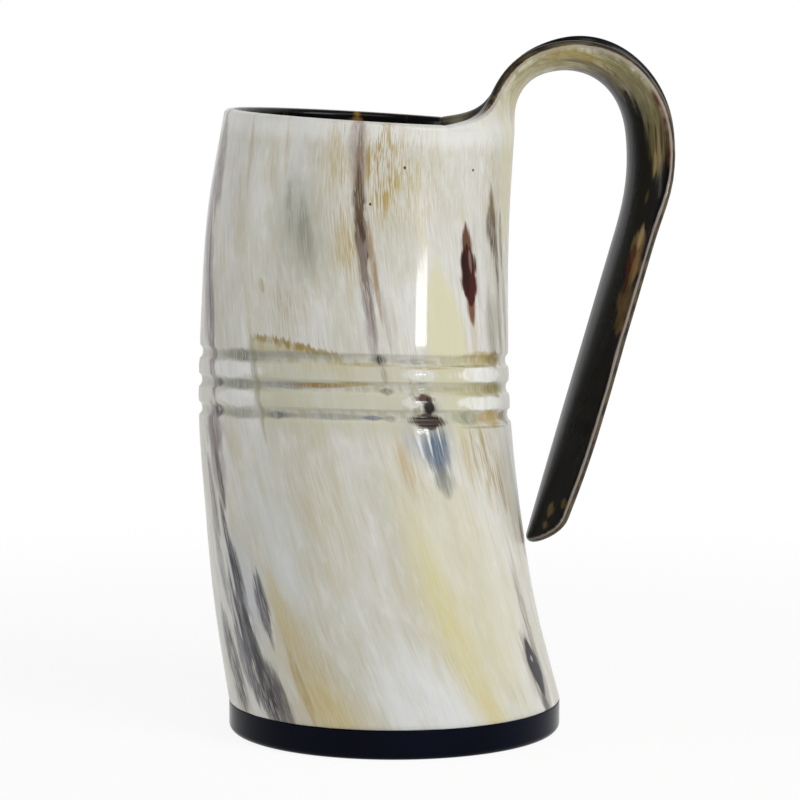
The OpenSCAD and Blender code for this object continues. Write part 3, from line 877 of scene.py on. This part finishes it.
KNOTS = (
    # small dark spots of pigment across the belt
    (-97.3, 98.4, 2, 1.5, 0.8, 0.9, "#4d433b"),
    (-97.4, 98.4, 0.8, 1, 0.5, 0.9, "#3a302a"),
    (-96.8, 94.5, 1, 3, 0.8, 0.6, "#8e8078"),
    (-96.9, 90.2, 1.9, 1, 0.8, 0.8, "#5f554b"),
    (-97.8, 83.2, 1.7, 0.9, 0.8, 0.7, "#7b7772"),
    (-171.5, 94, 1.6, 9, 0.6, 0.85, "#7a6d6e"),
    (-174.5, 79, 4.4, 8, 0.5, 0.85, "#7b7072"),
    (-170.5, 83.9, 2.8, 2.1, 0.6, 0.95, "#3f3a3d"),
    (-170.5, 84.1, 1, 0.7, 0.5, 0.8, "#a39ea0"),
    (-168, 91, 2, 1.3, 0.7, 0.85, "#5f595b"),
)
BLOT = (
    # one dark blot below the middle of the belt, narrow above and wide below
    (-83.3, 88.4, 3, 1.3, 0.5, 1, "#4f392b"),
    (-82, 86.2, 1.7, 2.6, 0.4, 1, "#1a120e"),
    (-83.6, 82.6, 5.2, 2.3, 0.4, 1, "#443630"),
    (-83.8, 83.4, 3.8, 0.6, 0.4, 1, "#1d1511"),
    (-83.6, 81.6, 3.4, 0.4, 0.4, 1, "#241a15"),
)

INNER_PATCHES = (
    # amber and brown places on the dark inner face, near the rim
    (92, 157, 2.4, 2.6, 0.5, 0.9, "#8a6a2c"),
    (84, 155, 1.2, 2, 0.5, 0.8, "#6b4e1e"),
    (44, 161, 5, 4, 0.8, 0.8, "#7a6f52"),
    (34, 158, 3.6, 4, 0.6, 0.9, "#54260f"),
    (125, 155, 1.6, 2.4, 0.6, 0.6, "#3d2a10"),
)

# %% Streaks of the handle
HANDLE_STREAKS = (
    (-14, 172, 2.4, 11, 0.8, 0.6, "#a0955f"),
    (-6, 168, 1.8, 9, 0.8, 0.6, "#a29866"),
    (-12, 182, 2.8, 9, 0.8, 0.6, "#968a58"),
    (-3, 189, 2.6, 9, 0.5, 0.95, "#3f382f"),
    (-3, 180, 1.8, 9, 0.6, 0.9, "#655b4a"),
    (-9, 189, 1, 8, 0.5, 0.85, "#5a5040"),
    (-16, 187, 1.5, 7, 0.6, 0.85, "#6b6250"),
    (-13.5, 193, 2, 7, 0.6, 0.8, "#57503f"),
    (-21, 194, 1.4, 8, 0.7, 0.7, "#8f8450"),
    (-11, 168, 1.6, 8, 0.8, 0.6, "#b3a670"),
    (-19, 183, 2.6, 8, 0.7, 0.7, "#a3904f"),
    (-7, 161, 2.2, 12, 0.8, 0.75, "#aea16b"),
    (-14, 165, 1.6, 8, 0.8, 0.6, "#b1a577"),
    (-2, 152, 2, 14, 0.8, 0.7, "#b3a772"),
    (-16, 188, 1.1, 9, 0.6, 0.75, "#7a6e46"),
    (-24, 194, 2.2, 8, 0.7, 0.8, "#756c45"),
    (-27, 207, 3.4, 12, 0.5, 0.95, "#6f6740"),
    (-22, 200, 1.4, 8, 0.6, 0.7, "#7b7561"),
    (-27, 212, 1.2, 5.5, 0.5, 0.85, "#7f6d42"),
    (-25.8, 215, 0.6, 3.5, 0.5, 0.8, "#a0865c"),
    (-28.6, 209, 0.5, 4, 0.5, 0.85, "#2b150a"),
    (-26.2, 209, 0.4, 4, 0.5, 0.8, "#3a2412"),
    (-30.5, 202, 1.5, 7, 0.4, 0.85, "#4c2712"),
    (-31.5, 211, 0.9, 5, 0.4, 0.85, "#3d1c0c"),
    (-24, 223, 0.6, 2, 0.5, 0.8, "#4f4623"),
    (-25.6, 235, 2.2, 5.5, 0.4, 0.95, "#7d6741"),
    (-26.5, 233, 0.9, 3.5, 0.4, 0.9, "#a68d66"),
    (-24.6, 240, 1.5, 5.5, 0.35, 0.95, "#46150a"),
    (-27.6, 241, 1.2, 5, 0.4, 0.9, "#8b6b45"),
    (-26, 248, 2, 6.5, 0.4, 0.9, "#64502a"),
    (-25, 246, 0.8, 4, 0.4, 0.9, "#3a1208"),
    (-27.5, 254, 1.6, 6, 0.4, 0.85, "#5c4626"),
    (-18.6, 307.8, 1.6, 2.4, 0.5, 0.9, "#6d5934"),
    (-25, 305, 1, 1.6, 0.5, 0.8, "#54451f"),
    (-18, 312, 1.3, 1.4, 0.5, 0.8, "#67552e"),
    (8, 262, 2.2, 9, 0.4, 0.9, "#6b5630"),
    (14, 230, 1.6, 8, 0.4, 0.9, "#7a6238"),
)

# %% Horn material: the fibres
DRIFT_GRAIN = (0.06, 0.06, 0.03)
DRIFT_SIZE = (1.4, 1.4, 4.0)
horn_material = new_material("polished_ox_horn")
tree = horn_material.node_tree
fibre = add(tree, "ShaderNodeAttribute", attribute_name="fibre").outputs["Vector"]
inside = add(tree, "ShaderNodeAttribute", attribute_name="inside").outputs["Fac"]
groove = add(tree, "ShaderNodeAttribute", attribute_name="groove").outputs["Fac"]
slow = add(tree, "ShaderNodeVectorMath", (fibre, DRIFT_GRAIN), operation="MULTIPLY")
drift = add(tree, "ShaderNodeTexNoise", {"Vector": slow, "Scale": 1.0, "Detail": 2.0}).outputs["Color"]
drift = add(tree, "ShaderNodeVectorMath", (drift, (0.5, 0.5, 0.5)), operation="SUBTRACT")
drift = add(tree, "ShaderNodeVectorMath", (drift, DRIFT_SIZE), operation="MULTIPLY")
wandered = add(tree, "ShaderNodeVectorMath", (fibre, drift), operation="ADD")
height = add(tree, "ShaderNodeSeparateXYZ", (fibre,)).outputs["Z"]
place = add(tree, "ShaderNodeSeparateXYZ", (wandered,)).outputs
turn_round = add(tree, "ShaderNodeMath", (place["Y"], place["X"]), operation="ARCTAN2")
turn_round = add(tree, "ShaderNodeMath", (turn_round, math.degrees(1)), operation="MULTIPLY")


def fibre_pattern(across, along, detail, offset=0.0):
    """Noise drawn out along the fibres, with a grain in mm. Each offset gives another pattern."""
    grain = add(tree, "ShaderNodeVectorMath", (wandered, (1 / across, 1 / across, 1 / along)),
                operation="MULTIPLY")
    feeds = {"Vector": grain, "W": offset, "Scale": 1.0, "Detail": detail}
    return add(tree, "ShaderNodeTexNoise", feeds, noise_dimensions="4D")


def sway(value, *pushes):
    """A value that patterns push either way. Each pattern comes with its whole swing."""
    for pattern, swing in pushes:
        push = add(tree, "ShaderNodeMath", (pattern, swing, -swing / 2), operation="MULTIPLY_ADD")
        value = add(tree, "ShaderNodeMath", (value, push), operation="ADD")
    return value


hair = fibre_pattern(0.3, 9, 2.0)
strand = fibre_pattern(1.1, 30, 3.0, 4.0)
nibble = fibre_pattern(2.0, 6.0, 3.0, 12.0)
zone = fibre_pattern(11, 46, 2.0, 9.0)
cloud = fibre_pattern(4.0, 14, 4.0, 17.0)
puff = fibre_pattern(3.2, 7.5, 6.0, 23.0)
mottle = fibre_pattern(1.6, 3.2, 4.0, 31.0)
crumb = fibre_pattern(0.5, 0.8, 2.0, 50.0)
skyline = fibre_pattern(0.8, 90, 4.0, 40.0)
feather = sway(0.0, (hair, 1.5), (strand, 1.1), (nibble, 1.5))
crisp = add(tree, "ShaderNodeMath", (feather, 0.45), operation="MULTIPLY")
broken = add(tree, "ShaderNodeMath", (nibble, 0.4), operation="MULTIPLY")
broken = add(tree, "ShaderNodeMath", (hair, 0.6, broken), operation="MULTIPLY_ADD")
weave = add(tree, "ShaderNodeMapRange", (broken, 0.4, 0.56, 0.45, 1.0), interpolation_type="SMOOTHSTEP")
stringy = add(tree, "ShaderNodeMapRange", (broken, 0.46, 0.6), interpolation_type="SMOOTHSTEP")


# %% Horn material: layers of colour
def lay(under, over, value, start, full, share=1.0, mask=1.0):
    """Lays a colour over another where a value is past its start, up to a share where it is full."""
    cover = add(tree, "ShaderNodeMapRange", (value, start, full, 0.0, share), interpolation_type="SMOOTHSTEP")
    cover = add(tree, "ShaderNodeMath", (cover, mask), operation="MULTIPLY")
    return add(tree, "ShaderNodeMix", {0: cover, 6: under, 7: over}, data_type="RGBA").outputs[2]


def lay_band(under, over, value, start, full, fading, end, share, mask):
    """Lays a colour over another in a band of a value, with a soft step on either side."""
    fade = add(tree, "ShaderNodeMapRange", (value, end, fading), interpolation_type="SMOOTHSTEP")
    fade = add(tree, "ShaderNodeMath", (fade, mask), operation="MULTIPLY")
    return lay(under, over, value, start, full, share, fade)


# %% Horn material: the pale ground
PALE_RIM = (155.0, 159.5)
hair_share = add(tree, "ShaderNodeMapRange", (height, 60, 105, 0.14, 0.35), interpolation_type="SMOOTHSTEP")
ground_layers = (
    # pattern, where the layer starts and where it is full, its share there, colour
    (nibble, 0.5, 0.75, 0.45, "#d8d8d5"),
    (cloud, 0.5, 0.75, 0.4, "#bcb18a"),
    (strand, 0.5, 0.75, 0.4, "#b4a983"),
    (hair, 0.53, 0.75, hair_share, "#9b9684"),
    (hair, 0.47, 0.25, hair_share, "#e2e2df"),
    (puff, 0.5, 0.68, 0.3, "#dadad7"),
    (puff, 0.46, 0.34, 0.12, "#b3ab90"),
)
ground = lay(colour("#cccbc6"), colour("#c1bfb3"), zone, 0.38, 0.62)
for pattern, start, full, share, code in ground_layers:
    ground = lay(ground, colour(code), pattern, start, full, share)
cloudy_height = add(tree, "ShaderNodeMath", (cloud, 4.0, height), operation="MULTIPLY_ADD")
below_handle = add(tree, "ShaderNodeMapRange", (height, RIM_LEVEL + 9, RIM_LEVEL - 1),
                   interpolation_type="SMOOTHSTEP")
ground = lay(ground, colour("#dfdfdc"), cloudy_height, *PALE_RIM, 0.6, below_handle)

# %% Horn material: the streaks
EDGE_SPREAD = 0.6
COVER_LIFT = 1.15


def streaks(under, rows, where, feather_share, weave_share):
    """Lays a list of streaks over a colour."""
    for turn, high, half_width, half_height, softness, strength, code in rows:
        cos, sin = math.cos(math.radians(turn)), math.sin(math.radians(turn))
        feeds = {
            "Under": under, "Pigment": colour(code)[:3], "Fibre": where,
            "Feather": feather_share, "Weave": weave_share,
            "Across": (-sin / half_width, cos / half_width, 0), "Toward": (cos, sin, 0),
            "Along": (0, 0, 1 / half_height), "Middle": high / half_height,
            "Core": 1 - softness, "Rim": 1 + softness * EDGE_SPREAD,
            "Strength": min(strength * COVER_LIFT, 1.0),
        }
        under = add(tree, "ShaderNodeGroup", feeds, node_tree=streak_group).outputs[0]
    return under


coloured = streaks(ground, STAINS, wandered, feather, stringy)
coloured = streaks(coloured, cup_streaks, wandered, feather, weave)
coloured = streaks(coloured, SPOTS, fibre, crisp, 1.0)

# %% [markdown]
# The belt of the cup was cut through the pale outer skin into a yellower layer. At the left of
# the front its upper edge is ragged and ochre, and falls to the first groove. The hollows of the
# grooves carry painted shade in grey and tan, and grey, tan and ochre marks. The beads have pale
# worn places and two painted highlights, and small knots of pigment lie across the belt.

# %% Horn material: the belt and the grooves
# turns in degrees and heights in mm, from where a mark starts to where it ends
BELT_FRONT = (-147.0, -146.0, -66.0, -54.0)
BELT_BACK = (-20.0, 0.0, 120.0, 140.0)
BELT_FOOT = (77.0, 82.0)
BELT_TOP = (103.0, 101.5)
OCHRE_FRONT = (-147.0, -145.0, -126.0, -98.0)
OCHRE_FALL = (-138.0, -104.0, 0.0, 4.2)
OCHRE_HAZE = (96.0, 101.0, 102.0, 104.0)
OCHRE_EDGE = (101.0, 102.3, 103.0, 104.0)
ragged = sway(height, (skyline, 5.0), (cloud, 5.0))
fall = add(tree, "ShaderNodeMapRange", (turn_round, *OCHRE_FALL), interpolation_type="SMOOTHSTEP")
falling = add(tree, "ShaderNodeMath", (ragged, fall), operation="ADD")
sides = []
for start, full, fading, end in (BELT_FRONT, BELT_BACK, OCHRE_FRONT):
    rise = add(tree, "ShaderNodeMapRange", (turn_round, start, full), interpolation_type="SMOOTHSTEP")
    fade = add(tree, "ShaderNodeMapRange", (turn_round, end, fading), interpolation_type="SMOOTHSTEP")
    sides.append(add(tree, "ShaderNodeMath", (rise, fade), operation="MULTIPLY"))
cut_front, cut_back, ochre_side = sides
patches = add(tree, "ShaderNodeMapRange", (zone, 0.45, 0.55), interpolation_type="SMOOTHSTEP")
cut_back = add(tree, "ShaderNodeMath", (cut_back, patches), operation="MULTIPLY")
cut_side = add(tree, "ShaderNodeMath", (cut_front, cut_back), operation="MAXIMUM")
foot = add(tree, "ShaderNodeMapRange", (ragged, *BELT_FOOT), interpolation_type="SMOOTHSTEP")
belt = add(tree, "ShaderNodeMath", (foot, cut_side), operation="MULTIPLY")
coloured = lay(coloured, colour("#b9b69e"), falling, *BELT_TOP, 0.6, belt)
gaps = add(tree, "ShaderNodeMapRange", (nibble, 0.42, 0.55, 0.5, 1.0), interpolation_type="SMOOTHSTEP")
ochre_side = add(tree, "ShaderNodeMath", (ochre_side, gaps), operation="MULTIPLY")
coloured = lay_band(coloured, colour("#aa9d6c"), falling, *OCHRE_HAZE, 0.6, ochre_side)
coloured = lay_band(coloured, colour("#8f7a42"), falling, *OCHRE_EDGE, 0.9, ochre_side)
# painted shade: the hollows of the grooves are laid over in grey and tan, by the depth of the cut
groove_painted_shade = lay(colour("#b9bab4"), colour("#9f9a80"), nibble, 0.45, 0.6)
coloured = lay(coloured, groove_painted_shade, sway(groove, (hair, 0.8)), 0.45, 1.0, 0.6)
belt_mark_edges = sway(0.0, (nibble, 1.6), (hair, 1.0))
# pale worn places and two painted highlights on the beads, marks in the grooves, and knots
coloured = streaks(coloured, BEAD_WEAR_AND_HIGHLIGHTS + GROOVE_MARKS + KNOTS, fibre, belt_mark_edges, weave)
coloured = streaks(coloured, BLOT + SPECKS, fibre, crisp, 1.0)

# %% [markdown]
# Along the handle the horn runs towards the tip of the animal's horn, where it is dark. The cream
# of the root breaks up into mottling over the arch, and the arm is nearly black with a few amber
# windows. The cut edge shows the layers of the horn as a brown band beside a light line, which is
# partly a pale layer and partly a painted highlight on the rounded edge. The inner face of the
# whole sheet is dark brown to black.

# %% Horn material: handle and inner face
DARK_SLANT = 0.85
DARK_SHIFT = 4.25
GREYING = (173, 184)
BLACKENING = (181, 190)
# where across the cut edge the pale line lies: a pale layer of the horn and a painted highlight on the
# rounded edge
EDGE_LAYER_AND_HIGHLIGHT = (0.03, 0.1, 0.16, 0.26)
root_colour = lay(colour("#c4bf9c"), colour("#a3986c"), mottle, 0.42, 0.62)
coloured = lay(coloured, root_colour, height, RIM_LEVEL + 1, RIM_LEVEL + 12, 0.75)
above_rim, on_handle, up_handle = (
    add(tree, "ShaderNodeMapRange", (height, RIM_LEVEL + low, RIM_LEVEL + high),
        interpolation_type="SMOOTHSTEP")
    for low, high in ((1, 9), (0.5, 5), (4, 18))
)
coloured = lay(coloured, colour("#8f8456"), mottle, 0.5, 0.6, 0.42, up_handle)
coloured = lay(coloured, colour("#7b7150"), crumb, 0.5, 0.62, 0.4, up_handle)
slant = add(tree, "ShaderNodeMath", (turn_round, DARK_SLANT, DARK_SHIFT), operation="MULTIPLY_ADD")
slant = add(tree, "ShaderNodeMath", (height, slant), operation="ADD")
dark_from = sway(slant, (mottle, 22.0), (strand, 14.0))
coloured = lay(coloured, colour("#6f654f"), dark_from, *GREYING, 0.75, above_rim)
coloured = lay(coloured, colour("#050403"), dark_from, *BLACKENING, 1.0, above_rim)
coloured = streaks(coloured, HANDLE_STREAKS, fibre, feather, weave)
layers = sway(inside, (hair, 0.15))
brown_layer = lay(colour("#54492f"), colour("#2a2219"), mottle, 0.4, 0.6)
coloured = lay(coloured, brown_layer, layers, 0.2, 0.3, 1.0, on_handle)
# painted highlight: a pale line along the rounded cut edge of the handle, partly a pale layer of the horn
coloured = lay_band(coloured, colour("#9b918b"), layers, *EDGE_LAYER_AND_HIGHLIGHT, 0.8, on_handle)
inner_dark = lay(colour("#040302"), colour("#3c2f16"), mottle, 0.6, 0.8)
inner_dark = streaks(inner_dark, INNER_PATCHES, fibre, crisp, 1.0)
coloured = lay(coloured, inner_dark, inside, 0.5, 0.8)

# %% Horn material: gloss and fine relief
roughness = add(tree, "ShaderNodeMapRange", (strand, 0.3, 0.7, 0.26, 0.4), interpolation_type="SMOOTHSTEP")
relief = add(tree, "ShaderNodeMath", (hair, 0.02), operation="MULTIPLY")
relief = add(tree, "ShaderNodeMath", (strand, 0.05, relief), operation="MULTIPLY_ADD")
show(horn_material, add(tree, "ShaderNodeBsdfPrincipled", {
    "Base Color": coloured,
    "Roughness": roughness,
    "IOR": 1.54,
    "Specular IOR Level": 0.1,
    "Coat Weight": 0.16,
    "Coat Roughness": 0.06,
    "Coat IOR": 1.5,
    "Normal": add(tree, "ShaderNodeBump", {"Height": relief, "Distance": MM, "Strength": 0.6}),
}))

# %% Cut the grooves and finish the horn piece
horn.data.shade_smooth()
horn.data.set_sharp_from_angle(angle=math.radians(HORN_CREASE))
cutter, cutter_sockets = groove_tree()
modifier = horn.modifiers.new("grooves", "NODES")
modifier.node_group = cutter
for input_name, value in GROOVE_INPUTS.items():
    modifier[cutter_sockets[input_name]] = value
modifier[cutter_sockets["Material"]] = horn_material
bake(horn)
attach(horn, "root")
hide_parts("horn_body")
print("horn sheet after cutting:", len(horn.data.polygons), "faces, materials", horn.data.materials.keys())

# %% [markdown]
# ## Base plug
# The plug is turned from wood and lacquered black. A lathe shape is a profile spun round the
# upright axis, so the profile is written as a few points, with the rounded lower edge as an arc
# and a small break on the edge that meets the horn.

# %% Base plug
LIP_ROUND = 1.8
PLUG_BREAK = 0.3
SPIGOT_H = 6.0
GLUE_GAP = 0.3
PLUG_TURNS = 224
ARC_STEPS = 10
PLUG_CREASE = 35


def spin(name, profile):
    """Spins a profile of radius and height, from the lower pole to the upper one, in mm."""
    rings = [p for p in profile if p[0] > 0]
    turns = [2 * math.pi * k / PLUG_TURNS for k in range(PLUG_TURNS)]
    points = [(r * math.cos(a) * MM, r * math.sin(a) * MM, z * MM) for r, z in rings for a in turns]
    points += [(0, 0, profile[0][1] * MM), (0, 0, profile[-1][1] * MM)]
    low_pole, high_pole, last = len(points) - 2, len(points) - 1, (len(rings) - 1) * PLUG_TURNS
    faces = []
    for k in range(PLUG_TURNS):
        after = (k + 1) % PLUG_TURNS
        faces.append((low_pole, after, k))
        faces.append((high_pole, last + k, last + after))
        faces += [(j + k, j + after, j + after + PLUG_TURNS, j + k + PLUG_TURNS)
                  for j in range(0, last, PLUG_TURNS)]
    made = mesh_object(name, points, faces)
    made.data.shade_smooth()
    made.data.set_sharp_from_angle(angle=math.radians(PLUG_CREASE))
    return made


foot_r = FOOT_D / 2
spigot_r = foot_r - SEAT_WALL - GLUE_GAP
lower_arc = [
    (foot_r - LIP_ROUND + LIP_ROUND * math.sin(t), LIP_ROUND - LIP_ROUND * math.cos(t))
    for t in (math.pi / 2 * k / ARC_STEPS for k in range(ARC_STEPS + 1))
]
plug = spin("lacquered_base_plug", [
    (0, 0), *lower_arc, (foot_r, LIP_H - PLUG_BREAK), (foot_r - PLUG_BREAK, LIP_H), (spigot_r, LIP_H),
    (spigot_r, LIP_H + SPIGOT_H - PLUG_BREAK), (spigot_r - PLUG_BREAK, LIP_H + SPIGOT_H),
    (0, LIP_H + SPIGOT_H),
])

# %% Black lacquer
# a deep blue-black with a clear gloss, and faint rings from the lathe; the bluer patches are a painted blue
# sheen
RING_GRAIN = (12.0, 12.0, 900.0)
lacquer = new_material("black_lacquer_on_wood")
tree = lacquer.node_tree
place = add(tree, "ShaderNodeTexCoord").outputs["Object"]
rings = add(tree, "ShaderNodeVectorMath", (place, RING_GRAIN), operation="MULTIPLY")
rings = add(tree, "ShaderNodeTexNoise", {"Vector": rings, "Scale": 1.0, "Detail": 3.0})
patch = add(tree, "ShaderNodeTexNoise", {"Vector": place, "Scale": 45.0, "Detail": 2.0})
# painted sheen: patches of a bluer black stand in for the blue sheen of reflections on the lacquer
ink_and_blue_sheen = add(tree, "ShaderNodeMix", {0: patch, 6: colour("#010208"), 7: colour("#060b1e")}, data_type="RGBA")
show(lacquer, add(tree, "ShaderNodeBsdfPrincipled", {
    "Base Color": ink_and_blue_sheen.outputs[2],
    "Roughness": add(tree, "ShaderNodeMapRange", (patch, 0.3, 0.7, 0.12, 0.24)),
    "IOR": 1.5,
    "Specular IOR Level": 0.05,
    "Normal": add(tree, "ShaderNodeBump", {"Height": rings, "Distance": 0.00003, "Strength": 0.5}),
}))
plug.data.materials.append(lacquer)
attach(plug, "root")
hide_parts("base_plug")
print("base plug:", len(plug.data.polygons), "faces")

# %% [markdown]
# ## Sealing layer and glue
# Looking down into the cup, the floor is a thin dark layer of food-safe resin, poured over the
# plug, that climbs the wall a little at its edge. The glue below it hardly shows. Both keep the
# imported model's shape and only get a finish.

# %% Resin and glue
resin = new_material("dark_sealing_resin")
tree = resin.node_tree
place = add(tree, "ShaderNodeTexCoord").outputs["Object"]
flow = add(tree, "ShaderNodeTexNoise", {"Vector": place, "Scale": 60.0, "Detail": 3.0})
brown = add(tree, "ShaderNodeMix", {0: flow, 6: colour("#150c06"), 7: colour("#32200f")}, data_type="RGBA")
show(resin, add(tree, "ShaderNodeBsdfPrincipled", {
    "Base Color": brown.outputs[2],
    "Roughness": 0.12,
    "IOR": 1.52,
    "Normal": add(tree, "ShaderNodeBump", {"Height": flow, "Distance": 0.0002, "Strength": 0.3}),
}))

glue = new_material("yellow_wood_glue")
tree = glue.node_tree
place = add(tree, "ShaderNodeTexCoord").outputs["Object"]
lumps = add(tree, "ShaderNodeTexNoise", {"Vector": place, "Scale": 300.0, "Detail": 2.0})
yellow = add(tree, "ShaderNodeMix", {0: lumps, 6: colour("#c9a866"), 7: colour("#a9854a")}, data_type="RGBA")
show(glue, add(tree, "ShaderNodeBsdfPrincipled", {
    "Base Color": yellow.outputs[2],
    "Roughness": 0.4,
    "IOR": 1.48,
}))


def finish_node(name, material):
    """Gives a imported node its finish."""
    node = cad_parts[name]
    node.data.materials.clear()
    node.data.materials.append(material)


finish_node("floor_seal", resin)
finish_node("glue_ring", glue)
